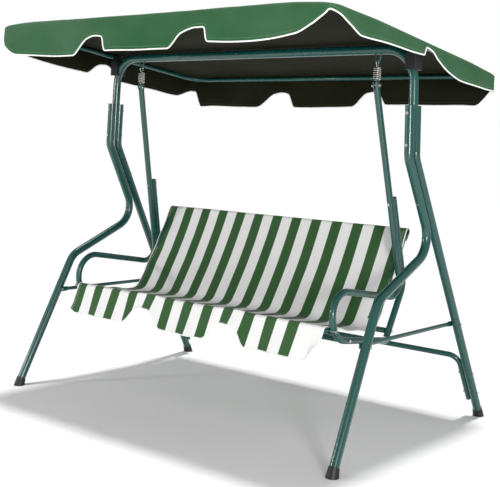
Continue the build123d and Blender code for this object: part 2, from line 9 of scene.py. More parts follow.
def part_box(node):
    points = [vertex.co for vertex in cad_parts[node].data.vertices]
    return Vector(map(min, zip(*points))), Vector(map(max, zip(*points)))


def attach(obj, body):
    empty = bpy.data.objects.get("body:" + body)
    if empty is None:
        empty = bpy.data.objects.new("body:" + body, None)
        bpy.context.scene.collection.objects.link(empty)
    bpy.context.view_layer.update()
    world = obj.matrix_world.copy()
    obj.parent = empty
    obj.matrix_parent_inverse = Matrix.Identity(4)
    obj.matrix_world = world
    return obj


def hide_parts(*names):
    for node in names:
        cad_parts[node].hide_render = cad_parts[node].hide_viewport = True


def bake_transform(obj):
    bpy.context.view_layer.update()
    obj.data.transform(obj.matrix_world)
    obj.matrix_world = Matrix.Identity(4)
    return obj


bl_info = {
    "name": "Canopy Swing Bench",
    "version": (1, 0, 0),
    "blender": (4, 5, 0),
    "location": "3D View > Sidebar > Swing",
    "description": "Builds the fabrics, springs and finishes of a canopy swing bench",
    "category": "Add Mesh",
}

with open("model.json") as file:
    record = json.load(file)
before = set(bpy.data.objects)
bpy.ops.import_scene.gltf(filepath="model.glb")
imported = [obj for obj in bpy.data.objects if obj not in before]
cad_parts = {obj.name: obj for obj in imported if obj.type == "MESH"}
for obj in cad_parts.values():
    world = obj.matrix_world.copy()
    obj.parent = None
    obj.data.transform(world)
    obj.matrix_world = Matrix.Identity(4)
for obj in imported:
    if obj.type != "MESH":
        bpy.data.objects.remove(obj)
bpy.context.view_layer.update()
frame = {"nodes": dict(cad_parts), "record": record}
NODES = frame["nodes"]
SIDES = {"left": -1, "right": 1}


# ---- settings a user would change ----
def tint(name, words, value):
    return bpy.props.FloatVectorProperty(name=name, description=words, default=value, size=3,
                                         min=0.0, max=1.0, subtype="COLOR")


def length(name, words, value):
    return bpy.props.FloatProperty(name=name, description=words, default=value, min=0.0,
                                   unit="LENGTH")


class SwingFinishes(bpy.types.PropertyGroup):
    """Colours of the bench."""
    paint: tint("Paint", "Powder coat of every tube", (0.004, 0.070, 0.058))
    roof_green: tint("Canopy", "Outside of the canopy cloth", (0.032, 0.142, 0.050))
    # painted shade: the underside of the canopy cloth gets this darker colour to stand for the
    # shade under the roof
    shaded_underside: tint("Shaded underside", "Inside of the canopy cloth, darkened as painted shade", (0.011, 0.012, 0.004))
    stripe: tint("Stripe", "Dark stripe of the sling", (0.028, 0.105, 0.024))
    ground: tint("Pale yarn", "Pale yarn of the sling and the piping", (0.93, 0.93, 0.92))
    plastic: tint("Plastic", "Moulded brackets, washers and foot caps", (0.010, 0.010, 0.011))
    zinc: tint("Zinc", "Plated bolts and springs", (0.63, 0.62, 0.59))


class SwingSizes(bpy.types.PropertyGroup):
    """Sizes of the fabrics and trims."""
    roof_sag: length("Roof sag", "How far the roof cloth dips between its tubes", 0.007)
    hem_wave: length("Hem wave", "How far the canopy's hem swings in and out", 0.007)
    piping: length("Piping", "Radius of the white piping", 0.0026)
    pan_sag: length("Seat sag", "How far the sling dips between its tubes", 0.010)
    stripe_pitch: length("Stripe pitch", "From one dark stripe to the next", 0.1025)
    stripe_width: length("Stripe width", "Width of one dark stripe", 0.0495)
    wire: length("Spring wire", "Radius of the spring wire", 0.002)


def finishes():
    return bpy.context.scene.swing_finishes


def sizes():
    return bpy.context.scene.swing_sizes


# ---- shader building ----
class Graph:
    """A short way to add and join shader nodes."""

    def __init__(self, tree):
        self.tree = tree

    def node(self, kind, values=None, **settings):
        made = self.tree.nodes.new(kind)
        for key, value in settings.items():
            setattr(made, key, value)
        for key, value in (values or {}).items():
            self.put(value, made.inputs[key])
        return made

    def put(self, value, socket):
        if isinstance(value, bpy.types.NodeSocket):
            self.tree.links.new(value, socket)
        elif hasattr(value, "__len__") and len(value) == 3 and socket.type == "RGBA":
            socket.default_value = (*value, 1.0)
        else:
            socket.default_value = value

    def math(self, operation, first, second=0.0, third=0.0):
        made = self.node("ShaderNodeMath", {0: first, 1: second, 2: third}, operation=operation)
        return made.outputs[0]

    def mix(self, share, first, second):
        made = self.node("ShaderNodeMix", data_type="RGBA")
        self.put(share, made.inputs[0])
        self.put(first, made.inputs[6])
        self.put(second, made.inputs[7])
        return made.outputs[2]

    def ramp(self, value, low, high, to_low=0.0, to_high=1.0):
        made = self.node("ShaderNodeMapRange", {0: value, 1: low, 2: high, 3: to_low, 4: to_high})
        return made.outputs[0]

    def noise(self, place, scale, detail=3.0, rough=0.5):
        made = self.node("ShaderNodeTexNoise", {"Vector": place, "Scale": scale,
                                                "Detail": detail, "Roughness": rough})
        return made.outputs["Fac"]

    def place(self):
        return self.node("ShaderNodeTexCoord").outputs["Object"]


def new_group(name, inputs, outputs):
    """A shader node group with named sockets; the graph, its inputs and its output node."""
    tree = bpy.data.node_groups.new(name, "ShaderNodeTree")
    for label, kind, value in inputs:
        socket = tree.interface.new_socket(label, in_out="INPUT", socket_type=kind)
        if value is not None:
            socket.default_value = value
    for label, kind in outputs:
        tree.interface.new_socket(label, in_out="OUTPUT", socket_type=kind)
    graph = Graph(tree)
    return graph, graph.node("NodeGroupInput").outputs, graph.node("NodeGroupOutput").inputs


FLOAT, COLOUR = "NodeSocketFloat", "NodeSocketColor"
BLACK = (0.0, 0.0, 0.0)


def wear_group():
    """Faint mottling, dust on upward faces and fine surface grain."""
    graph, given, out = new_group(
        "Surface wear",
        [("Colour", COLOUR, (0.5, 0.5, 0.5, 1)), ("Dust", COLOUR, (0.4, 0.4, 0.37, 1)),
         ("Dust amount", FLOAT, 0.1), ("Mottle", FLOAT, 0.1), ("Grain scale", FLOAT, 900.0),
         ("Low roughness", FLOAT, 0.2), ("High roughness", FLOAT, 0.4)],
        [("Colour", COLOUR), ("Roughness", FLOAT), ("Height", FLOAT)])
    place = graph.place()
    broad = graph.noise(place, 9.0, 4.0, 0.6)
    fine = graph.noise(place, 70.0, 3.0, 0.6)
    grain = graph.noise(place, given["Grain scale"], 2.0, 0.5)
    shade = graph.ramp(broad, 0.3, 0.7, 0.0, 1.0)
    dark = graph.mix(given["Mottle"], given["Colour"], BLACK)
    base = graph.mix(shade, dark, given["Colour"])
    facing = graph.node("ShaderNodeNewGeometry").outputs["Normal"]
    upward = graph.node("ShaderNodeSeparateXYZ", {0: facing}).outputs[2]
    settled = graph.math("MULTIPLY", graph.ramp(upward, 0.2, 1.0), graph.ramp(fine, 0.35, 0.7))
    settled = graph.math("MULTIPLY", settled, given["Dust amount"])
    graph.put(graph.mix(settled, base, given["Dust"]), out["Colour"])
    span = graph.math("SUBTRACT", given["High roughness"], given["Low roughness"])
    rough = graph.math("MULTIPLY_ADD", fine, span, given["Low roughness"])
    graph.put(graph.math("ADD", rough, graph.math("MULTIPLY", settled, 0.5)), out["Roughness"])
    graph.put(grain, out["Height"])
    return graph.tree


def weave_group():
    """Plain weave laid out along the cloth's own width and length, with slub and fading."""
    graph, given, out = new_group(
        "Plain weave",
        [("Colour", COLOUR, (0.5, 0.5, 0.5, 1)), ("Thread", FLOAT, 0.0012),
         ("Contrast", FLOAT, 0.25), ("Fade", FLOAT, 0.15)],
        [("Colour", COLOUR), ("Roughness", FLOAT), ("Height", FLOAT)])
    spread = graph.node("ShaderNodeUVMap", uv_map="cloth").outputs[0]
    parts = graph.node("ShaderNodeSeparateXYZ", {0: spread})
    turns = graph.math("DIVIDE", math.pi, given["Thread"])
    warp = graph.math("SINE", graph.math("MULTIPLY", parts.outputs[0], turns))
    weft = graph.math("SINE", graph.math("MULTIPLY", parts.outputs[1], turns))
    over = graph.math("MULTIPLY", warp, weft)
    threads = graph.ramp(over, -1.0, 1.0, 0.0, 1.0)
    slub = graph.node("ShaderNodeMapping", {"Vector": spread, "Scale": (900.0, 60.0, 1.0)})
    slubs = graph.noise(slub.outputs[0], 1.0, 2.0, 0.6)
    broad = graph.noise(graph.place(), 3.5, 3.0, 0.55)
    shade = graph.math("MULTIPLY", threads, given["Contrast"])
    dark = graph.mix(shade, given["Colour"], BLACK)
    streak = graph.mix(graph.math("MULTIPLY", slubs, given["Contrast"]), dark, BLACK)
    pale = graph.mix(0.35, given["Colour"], (0.8, 0.8, 0.8))
    worn = graph.math("MULTIPLY", graph.ramp(broad, 0.35, 0.75), given["Fade"])
    graph.put(graph.mix(worn, streak, pale), out["Colour"])
    graph.put(graph.ramp(slubs, 0.2, 0.8, 0.72, 0.92), out["Roughness"])
    graph.put(graph.math("ADD", threads, slubs), out["Height"])
    return graph.tree


STITCH_WIDTH, STITCH_SHARE = 0.0006, 0.68  # half a thread's width; thread in each stitch


def stitch_group():
    """A row of stitches beside each edge of the cloth, from the distance to that edge."""
    graph, given, out = new_group(
        "Hem stitching",
        [("Inset", FLOAT, 0.012), ("Stitch", FLOAT, 0.006), ("Along", FLOAT, 0.0),
         ("From edge", FLOAT, 0.0)],
        [("Mask", FLOAT)])
    away = graph.math("ABSOLUTE", graph.math("SUBTRACT", given["From edge"], given["Inset"]))
    line = graph.math("LESS_THAN", away, STITCH_WIDTH)
    beat = graph.math("FRACT", graph.math("DIVIDE", given["Along"], given["Stitch"]))
    dash = graph.math("LESS_THAN", beat, STITCH_SHARE)
    graph.put(graph.math("MULTIPLY", line, dash), out["Mask"])
    return graph.tree


GROUPS = {}


def group(graph, name, values):
    """One of the shared effects, placed in a material."""
    if name not in GROUPS:
        GROUPS[name] = {"wear": wear_group, "weave": weave_group, "stitch": stitch_group}[name]()
    made = graph.node("ShaderNodeGroup", node_tree=GROUPS[name])
    for key, value in values.items():
        graph.put(value, made.inputs[key])
    return made.outputs


def new_material(name, plain):
    """A material with one Principled shader; its graph and the shader."""
    material = bpy.data.materials.new(name)
    material.use_nodes = True
    graph = Graph(material.node_tree)
    shader = material.node_tree.nodes["Principled BSDF"]
    for key, value in plain.items():
        graph.put(value, shader.inputs[key])
    return material, graph, shader


def bump(graph, shader, height, strength, distance):
    made = graph.node("ShaderNodeBump", {"Strength": strength, "Distance": distance,
                                         "Height": height})
    graph.put(made.outputs[0], shader.inputs["Normal"])


def worn_material(name, colour, plain, wear, strength, distance):
    """Paint, plating, plastic or cord: one colour with the shared wear over it."""
    material, graph, shader = new_material(name, plain)
    made = group(graph, "wear", {"Colour": colour, **wear})
    graph.put(made["Colour"], shader.inputs["Base Color"])
    graph.put(made["Roughness"], shader.inputs["Roughness"])
    bump(graph, shader, made["Height"], strength, distance)
    return material


def make_materials():
    """Every finish of the bench, by name."""
    look = finishes()
    made = {}
    made["paint"] = worn_material(
        "Teal powder coat", tuple(look.paint),
        {"Coat Weight": 0.35, "Coat Roughness": 0.10, "Specular IOR Level": 0.5},
        {"Mottle": 0.06, "Dust amount": 0.015, "Grain scale": 520.0,
         "Low roughness": 0.24, "High roughness": 0.32}, 0.05, 0.0003)
    made["zinc"] = worn_material(
        "Zinc plate", tuple(look.zinc), {"Metallic": 1.0},
        {"Mottle": 0.35, "Dust amount": 0.0, "Grain scale": 1500.0,
         "Low roughness": 0.18, "High roughness": 0.38}, 0.15, 0.0003)
    made["plastic"] = worn_material(
        "Moulded plastic", tuple(look.plastic), {"Specular IOR Level": 0.45},
        {"Mottle": 0.2, "Dust amount": 0.18, "Grain scale": 1300.0,
         "Low roughness": 0.38, "High roughness": 0.55}, 0.25, 0.0004)
    made["roof"] = cloth_material("Canopy cloth", tuple(look.roof_green), 0.0016, 0.30, 0.12,
                                  (0.10, 0.30, 0.13), 0.08)
    # painted shade: the underside material and its darker stitch thread are a darkened copy of the
    # canopy cloth
    made["shaded_underside"] = cloth_material("Canopy underside painted shade", tuple(look.shaded_underside), 0.0016, 0.2, 0.02,
                                    (0.05, 0.055, 0.03), 0.0)
    made["sling"] = sling_material()
    made["piping"] = worn_material(
        "White piping", tuple(look.ground), {"Sheen Weight": 0.2},
        {"Mottle": 0.08, "Dust amount": 0.08, "Grain scale": 1600.0,
         "Low roughness": 0.6, "High roughness": 0.8}, 0.4, 0.0005)
    return made


def sewn(graph, shader, woven, thread_colour, strength):
    """Puts a weave on the shader, with a row of stitches along the cloth's edges."""
    spread = graph.node("ShaderNodeUVMap", uv_map="edge").outputs[0]
    parts = graph.node("ShaderNodeSeparateXYZ", {0: spread}).outputs
    seam = group(graph, "stitch", {"Along": parts[0], "From edge": parts[1]})
    graph.put(graph.mix(seam["Mask"], woven["Colour"], thread_colour), shader.inputs["Base Color"])
    graph.put(woven["Roughness"], shader.inputs["Roughness"])
    relief = graph.math("MULTIPLY_ADD", seam["Mask"], 2.0, woven["Height"])
    bump(graph, shader, relief, strength, 0.0005)


def cloth_material(name, colour, thread, contrast, fade, thread_colour, sheen):
    """One colour of woven cloth, stitched along its hem."""
    material, graph, shader = new_material(name, {
        "Sheen Weight": sheen, "Sheen Roughness": 0.5, "Specular IOR Level": 0.08})
    woven = group(graph, "weave", {"Colour": colour, "Thread": thread, "Contrast": contrast,
                                   "Fade": fade})
    sewn(graph, shader, woven, thread_colour, 0.35)
    return material


SEAT_START = 0.455  # along the sling, from its tuck to where the seat begins
STRIPE_SHIFT = 100.5  # centres a stripe on the middle and keeps every count positive
STRIPE_RAG = 0.02  # how ragged a stripe's edge is, as a share of the pitch
STRIPE_BLUR = 0.008


def sling_material():
    """Striped open weave: dark bars on a pale cloth, the last one only on the back."""
    look, size = finishes(), sizes()
    material, graph, shader = new_material("Striped sling", {
        "Sheen Weight": 0.12, "Specular IOR Level": 0.3})
    spread = graph.node("ShaderNodeUVMap", uv_map="cloth").outputs[0]
    parts = graph.node("ShaderNodeSeparateXYZ", {0: spread}).outputs
    width = parts[0]
    phase = graph.math("DIVIDE", width, size.stripe_pitch)
    beat = graph.math("FRACT", graph.math("ADD", phase, STRIPE_SHIFT))
    away = graph.math("ABSOLUTE", graph.math("SUBTRACT", beat, 0.5))
    half = size.stripe_width / size.stripe_pitch / 2
    fringe = graph.noise(spread, 700.0, 2.0, 0.6)
    ragged = graph.math("MULTIPLY_ADD", graph.math("SUBTRACT", fringe, 0.5), STRIPE_RAG, away)
    bar = graph.ramp(ragged, half - STRIPE_BLUR, half + STRIPE_BLUR, 1.0, 0.0)
    seat = graph.math("GREATER_THAN", parts[1], SEAT_START)
    last = graph.math("GREATER_THAN", width, size.stripe_pitch * 5.5)
    kept = graph.math("SUBTRACT", 1.0, graph.math("MULTIPLY", seat, last))
    bar = graph.math("MULTIPLY", bar, kept)
    colour = graph.mix(bar, tuple(look.ground), tuple(look.stripe))
    woven = group(graph, "weave", {"Colour": colour, "Thread": 0.0014, "Contrast": 0.08,
                                   "Fade": 0.04})
    sewn(graph, shader, woven, (0.75, 0.76, 0.74), 0.4)
    return material


MATERIALS = {}


def material(name):
    if not MATERIALS:
        MATERIALS.update(make_materials())
    return MATERIALS[name]


# ---- mesh building ----
def smooth(low, high, value):
    """0 below low, 1 above high, and an even turn between."""
    share = min(1.0, max(0.0, (value - low) / (high - low)))
    return share * share * (3 - 2 * share)


def between(table, value):
    """A value between (place, value) pairs, turning smoothly at each without overshoot."""
    if value <= table[0][0]:
        return table[0][1]
    slopes = [(high - low) / (end - start)
              for (start, low), (end, high) in zip(table, table[1:])]
    for index, ((start, low), (end, high)) in enumerate(zip(table, table[1:])):
        if value <= end:
            before = slopes[max(index - 1, 0)]
            after = slopes[min(index + 1, len(slopes) - 1)]
            here, span = slopes[index], end - start
            lean_in = 0.0 if before * here <= 0 else 2 * before * here / (before + here)
            lean_out = 0.0 if after * here <= 0 else 2 * after * here / (after + here)
            part = (value - start) / span
            rest = 1 - part
            return (low * (1 + 2 * part) * rest ** 2 + high * (3 - 2 * part) * part ** 2
                    + span * (lean_in * part * rest ** 2 - lean_out * rest * part ** 2))
    return table[-1][1]


def mesh_object(name, points, faces, finish, layers=None):
    """A smooth mesh object; layers are UV pairs per vertex."""
    mesh = bpy.data.meshes.new(name)
    mesh.from_pydata([tuple(point) for point in points], [], faces)
    mesh.update()
    for label, pairs in (layers or {}).items():
        data = mesh.uv_layers.new(name=label).data
        for loop in mesh.loops:
            data[loop.index].uv = pairs[loop.vertex_index]
    mesh.polygons.foreach_set("use_smooth", [True] * len(mesh.polygons))
    made = bpy.data.objects.new(name, mesh)
    bpy.context.scene.collection.objects.link(made)
    for entry in finish:
        mesh.materials.append(material(entry))
    return made


def apply_modifiers(piece):
    """Leaves the piece as plain mesh, with no modifiers."""
    depsgraph = bpy.context.evaluated_depsgraph_get()
    done = bpy.data.meshes.new_from_object(piece.evaluated_get(depsgraph),
                                           preserve_all_data_layers=True, depsgraph=depsgraph)
    piece.modifiers.clear()
    piece.data = done


def sweep(name, path, radius, finish, closed=False, sides=10):
    """A round tube along a path, capped unless closed."""
    path = [Vector(point) for point in path]
    count = len(path)
    rings, side = [], None
    for index, point in enumerate(path):
        if closed:
            run = path[(index + 1) % count] - path[index - 1]
        else:
            run = path[min(index + 1, count - 1)] - path[max(index - 1, 0)]
        run.normalize()
        if side is None:
            side = run.orthogonal().normalized()
        side = (side - run * side.dot(run)).normalized()
        other = run.cross(side)
        ring = [point + (side * math.cos(turn) + other * math.sin(turn)) * radius
                for turn in (2 * math.pi * step / sides for step in range(sides))]
        rings.append(ring)
    points = [point for ring in rings for point in ring]
    shift = 0
    if closed:
        shift = min(range(sides), key=lambda step: (rings[0][step] - rings[-1][0]).length)
    faces = []
    for index in range(count if closed else count - 1):
        follow = (index + 1) % count
        turn = shift if follow == 0 else 0
        for step in range(sides):
            after = (step + 1) % sides
            faces.append((index * sides + step, index * sides + after,
                          follow * sides + (after + turn) % sides,
                          follow * sides + (step + turn) % sides))
    if not closed:
        for ring, order in ((0, -1), (count - 1, 1)):
            faces.append(tuple(ring * sides + step for step in range(sides))[::order])
    return mesh_object(name, points, faces, [finish])


def ride(piece, body):
    """Makes a piece move with a body."""
    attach(piece, body)


def filleted(corners, radii, step):
    """Points along straight runs joined by arcs, step apart or closer."""
    corners = [Vector(corner) for corner in corners]
    ends = [(corners[0], corners[0])]
    arcs = [None]
    for index in range(1, len(corners) - 1):
        here = corners[index]
        back = (corners[index - 1] - here).normalized()
        on = (corners[index + 1] - here).normalized()
        opening = math.acos(max(-1.0, min(1.0, back.dot(on))))
        reach = radii[index - 1] / math.tan(opening / 2)
        ends.append((here + back * reach, here + on * reach))
        middle = here + (back + on).normalized() * (radii[index - 1] / math.sin(opening / 2))
        arcs.append((middle, math.pi - opening))
    ends.append((corners[-1], corners[-1]))
    points = [corners[0]]
    for index in range(1, len(corners)):
        start, end = ends[index - 1][1], ends[index][0]
        parts = max(1, round((end - start).length / step))
        points += [start.lerp(end, part / parts) for part in range(1, parts + 1)]
        if index < len(corners) - 1:
            middle, turn = arcs[index]
            first, last = ends[index][0] - middle, ends[index][1] - middle
            parts = max(3, round(turn * first.length / step))
            for part in range(1, parts + 1):
                share = part / parts
                blend = (first * math.sin((1 - share) * turn) + last * math.sin(share * turn))
                points.append(middle + blend / math.sin(turn))
    return points


# ---- canopy ----
PIVOT = Vector((0.0, -0.010, 1.454))
TILT = math.radians(6.0)
ROOF_HALF_X, ROOF_FRONT, ROOF_REAR = 0.8225, -0.6105, 0.5825
ROOF_CORNER = 0.052
ROOF_TOP = 0.0135
TUBE_HALF_X, TUBE_FRONT, TUBE_REAR = 0.795, -0.594, 0.566


def canopy_place(x, y, z):
    """From the canopy's own frame, whose middle is the tilt hinge, to the bench's."""
    return Vector((x, PIVOT.y + y * math.cos(TILT) + z * math.sin(TILT),
                   PIVOT.z - y * math.sin(TILT) + z * math.cos(TILT)))


def arch(place, middle, half, flat):
    """1 inside an arch of the hem, 0 outside it."""
    return 1 - smooth(flat, half, abs(place - middle))


FOLD_FALL, FOLD_INSET = 0.011, 0.017  # how far the rounded fold drops, and its width
FRONT_DROP = 0.125
ROOF_CLOTH, SLING_CLOTH = 0.0011, 0.0012  # thickness of each cloth
FRONT_HEM = ((-0.81, 0.012), (-0.765, 0.082), (-0.680, 0.123), (-0.340, 0.136), (-0.275, 0.074),
             (-0.236, 0.064), (-0.198, 0.068), (-0.161, 0.123), (0.146, 0.124), (0.203, 0.072),
             (0.268, 0.056), (0.304, 0.056), (0.337, 0.108), (0.500, 0.112), (0.690, 0.094),
             (0.755, 0.060), (0.806, 0.012))
REAR_HEM = ((-0.80, 0.046), (-0.768, 0.124), (-0.415, 0.130), (-0.308, 0.070), (-0.262, 0.062),
            (-0.222, 0.068), (-0.180, 0.131), (0.131, 0.124), (0.212, 0.066), (0.262, 0.060),
            (0.310, 0.116), (0.723, 0.116), (0.80, 0.046))
RIGHT_HEM = ((-0.60, 0.012), (-0.51, 0.046), (-0.45, 0.066), (-0.30, 0.058), (-0.040, 0.044),
             (-0.022, 0.014), (0.02, 0.018), (0.060, 0.038), (0.150, 0.068), (0.243, 0.082),
             (0.436, 0.072), (0.560, 0.058))
LEFT_HEM = ((-0.60, 0.012), (-0.44, 0.088), (-0.29, 0.098), (-0.125, 0.096), (-0.055, 0.048),
            (-0.015, 0.040), (0.030, 0.052), (0.085, 0.098), (0.40, 0.094), (0.47, 0.090),
            (0.560, 0.050))


def front_drop(x):
    return between(FRONT_HEM, x)


def rear_drop(x):
    return between(REAR_HEM, x)


def side_drop(side, y):
    return between(RIGHT_HEM if side > 0 else LEFT_HEM, y)


def rim_points(step):
    """The canopy's fold, as (x, y, outward x, outward y, drop of the hem)."""
    rows = []
    middle_y = (ROOF_FRONT + ROOF_REAR) / 2
    half_y = (ROOF_REAR - ROOF_FRONT) / 2
    straight_x, straight_y = ROOF_HALF_X - ROOF_CORNER, half_y - ROOF_CORNER

    def line(start, end, outward, drop):
        parts = round((end - start).length / step)
        for part in range(parts):
            spot = start.lerp(end, part / parts)
            rows.append((spot.x, spot.y, outward.x, outward.y, drop(spot)))

    def corner(side, run, first_turn):
        centre = Vector((side * straight_x, middle_y + run * straight_y))
        parts = round(ROOF_CORNER * math.pi / 2 / step * 1.3)
        for part in range(parts):
            turn = first_turn + math.pi / 2 * part / parts
            outward = Vector((math.cos(turn), math.sin(turn)))
            spot = centre + outward * ROOF_CORNER
            face = front_drop(spot.x) if run < 0 else rear_drop(spot.x)
            wrap = smooth(0.35, 0.65, abs(outward.x))
            drop = face + (side_drop(side, spot.y) - face) * wrap
            rows.append((spot.x, spot.y, outward.x, outward.y, drop))

    front, rear = middle_y - half_y, middle_y + half_y
    line(Vector((-straight_x, front)), Vector((straight_x, front)), Vector((0, -1)),
         lambda spot: front_drop(spot.x))
    corner(1, -1, -math.pi / 2)
    line(Vector((ROOF_HALF_X, middle_y - straight_y)),
         Vector((ROOF_HALF_X, middle_y + straight_y)),
         Vector((1, 0)), lambda spot: side_drop(1, spot.y))
    corner(1, 1, 0.0)
    line(Vector((straight_x, rear)), Vector((-straight_x, rear)), Vector((0, 1)),
         lambda spot: rear_drop(spot.x))
    corner(-1, 1, math.pi / 2)
    line(Vector((-ROOF_HALF_X, middle_y + straight_y)),
         Vector((-ROOF_HALF_X, middle_y - straight_y)),
         Vector((-1, 0)), lambda spot: side_drop(-1, spot.y))
    corner(-1, -1, math.pi)
    return rows


def roof_height(x, y):
    """Height of the roof cloth in the canopy's frame: held by its tubes and the beam."""
    sag = sizes().roof_sag
    run = (y / -TUBE_FRONT) if y < 0 else (y / TUBE_REAR)
    across = math.cos(min(1.0, abs(x) / TUBE_HALF_X) * math.pi / 2) ** 0.5
    dip = sag * math.sin(math.pi * min(1.0, abs(run))) ** 2 * across
    crease = 0.0012 * noise.noise(Vector((x * 5.0, y * 9.0, 0.0)))
    crease += 0.0007 * noise.noise(Vector((x * 17.0 + y * 12.0, y * 8.0, 3.0)))
    fall = smooth(0.0, 0.05, abs(y)) * min(1.0, across * 3)
    return ROOF_TOP - dip + crease * fall


class SWING_OT_canopy(bpy.types.Operator):
    """Canopy cloth: a roof stretched over its tubes, with a scalloped skirt and white piping"""
    bl_idname = "swing.canopy"
    bl_label = "Canopy cloth"

    SKIRT_ROWS = 14
    ROOF_RINGS = 34

    def execute(self, context):
        size = sizes()
        rim = rim_points(0.006)
        count = len(rim)
        middle_y = (ROOF_FRONT + ROOF_REAR) / 2
        points, cloth, edge = [], [], []
        along = 0.0
        travel = [0.0]
        for (x, y, *_), (next_x, next_y, *_) in zip(rim, rim[1:]):
            along += math.hypot(next_x - x, next_y - y)
            travel.append(along)

        def keep(spot, wide, long, drop_left):
            points.append(spot)
            cloth.append((wide, long))
            edge.append((travel[index], drop_left))

        for index, (x, y, out_x, out_y, drop) in enumerate(rim):
            wave = math.sin(travel[index] * 13.0) + 0.6 * math.sin(travel[index] * 29.0 + 1.7)
            wave += 0.8 * noise.noise(Vector((travel[index] * 6.0, 0.0, 7.0)))
            for row in range(self.SKIRT_ROWS + 1):
                share = (row / self.SKIRT_ROWS) ** 0.9
                down = drop * share
                bulge = 0.0016 + 0.010 * smooth(0.0, 1.0, down / FRONT_DROP)
                swing = size.hem_wave * 0.5 * wave * smooth(0.1, 1.0, down / FRONT_DROP)
                push = bulge + swing
                low = ROOF_TOP - FOLD_FALL + self.droop(x, y) - down
                keep(canopy_place(x + out_x * push, y + out_y * push, low),
                     travel[index], -down, drop - down)
        top = len(points)
        for ring in range(1, self.ROOF_RINGS + 1):
            share = max(0.004, 1 - (ring / self.ROOF_RINGS) ** 1.6)
            for index, (x, y, *_) in enumerate(rim):
                place_x, place_y = x * share, middle_y + (y - middle_y) * share
                inset = math.hypot(x - place_x, y - place_y)
                high = roof_height(place_x, place_y)
                if inset < FOLD_INSET:
                    high -= FOLD_FALL * (1 - (inset / FOLD_INSET) ** 0.6)
                high += self.droop(x, y) * (1 - smooth(0.0, 0.16, inset))
                keep(canopy_place(place_x, place_y, high), place_x, place_y, 1.0)
        faces = []
        rows = self.SKIRT_ROWS + 1
        for index in range(count):
            follow = (index + 1) % count
            for row in range(self.SKIRT_ROWS):
                a, b = index * rows + row, follow * rows + row
                faces.append((b, a, a + 1, b + 1))
            faces.append((index * rows, follow * rows, top + follow, top + index))
            for ring in range(self.ROOF_RINGS - 1):
                a, b = top + ring * count + index, top + ring * count + follow
                faces.append((a, b, b + count, a + count))
        last = top + (self.ROOF_RINGS - 1) * count
        faces.append(tuple(last + index for index in range(count)))
        sheet = mesh_object("canopy_sheet", points, faces, ["roof", "shaded_underside"],
                            {"cloth": cloth, "edge": edge})
        hem = [points[index * rows + self.SKIRT_ROWS].copy() for index in range(count)]
        skin = sheet.modifiers.new("Thickness", "SOLIDIFY")
        skin.thickness = ROOF_CLOTH
        skin.offset = -1.0
        # the inner faces take the darkened underside material, painted shade under the roof
        skin.material_offset = 1
        apply_modifiers(sheet)
        piping = sweep("canopy_piping", hem, size.piping, "piping", closed=True)
        tapes = self.fold_tape(rim)
        for piece in (sheet, piping, tapes):
            ride(piece, "canopy")
        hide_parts("canopy_cloth")
        return {"FINISHED"}

    @staticmethod
    def droop(x, y):
        """The fold dips a little towards the front corners, where the tube turns away."""
        near = smooth(0.66, 0.82, abs(x)) * smooth(0.30, 0.60, abs(y))
        return -0.007 * near

    def fold_tape(self, rim):
        """The welt sewn along the fold between roof and skirt."""
        path = [canopy_place(x + out_x * 0.0002, y + out_y * 0.0002,
                             ROOF_TOP - FOLD_FALL + self.droop(x, y))
                for x, y, out_x, out_y, _ in rim[::2]]
        return sweep("canopy_welt", path, 0.0016, "roof", closed=True, sides=8)


# ---- sling ----
TOP_TUBE = Vector((0.0, 0.245, 0.768))
FRONT_TUBE = Vector((0.0, -0.300, 0.442))
WRAP = 0.0128
SLING_TOP_HALF, SLING_FRONT_HALF = 0.636, 0.643
BACK_SLOPE = 0.545
CREASE_Z = 0.402
HEM_Z, HEM_LEAN = 0.332, 0.032
HEM_ARCH_X, HEM_ARCH_HALF, HEM_ARCH_FLAT, HEM_ARCH_RISE = 0.222, 0.112, 0.028, 0.069
HEM_SHIFT = 0.020  # sideways hang of the hem
RIGHT_LIFT, RIGHT_PULL, LEFT_LIFT = 0.024, 0.018, 0.012  # how the hem's ends turn up


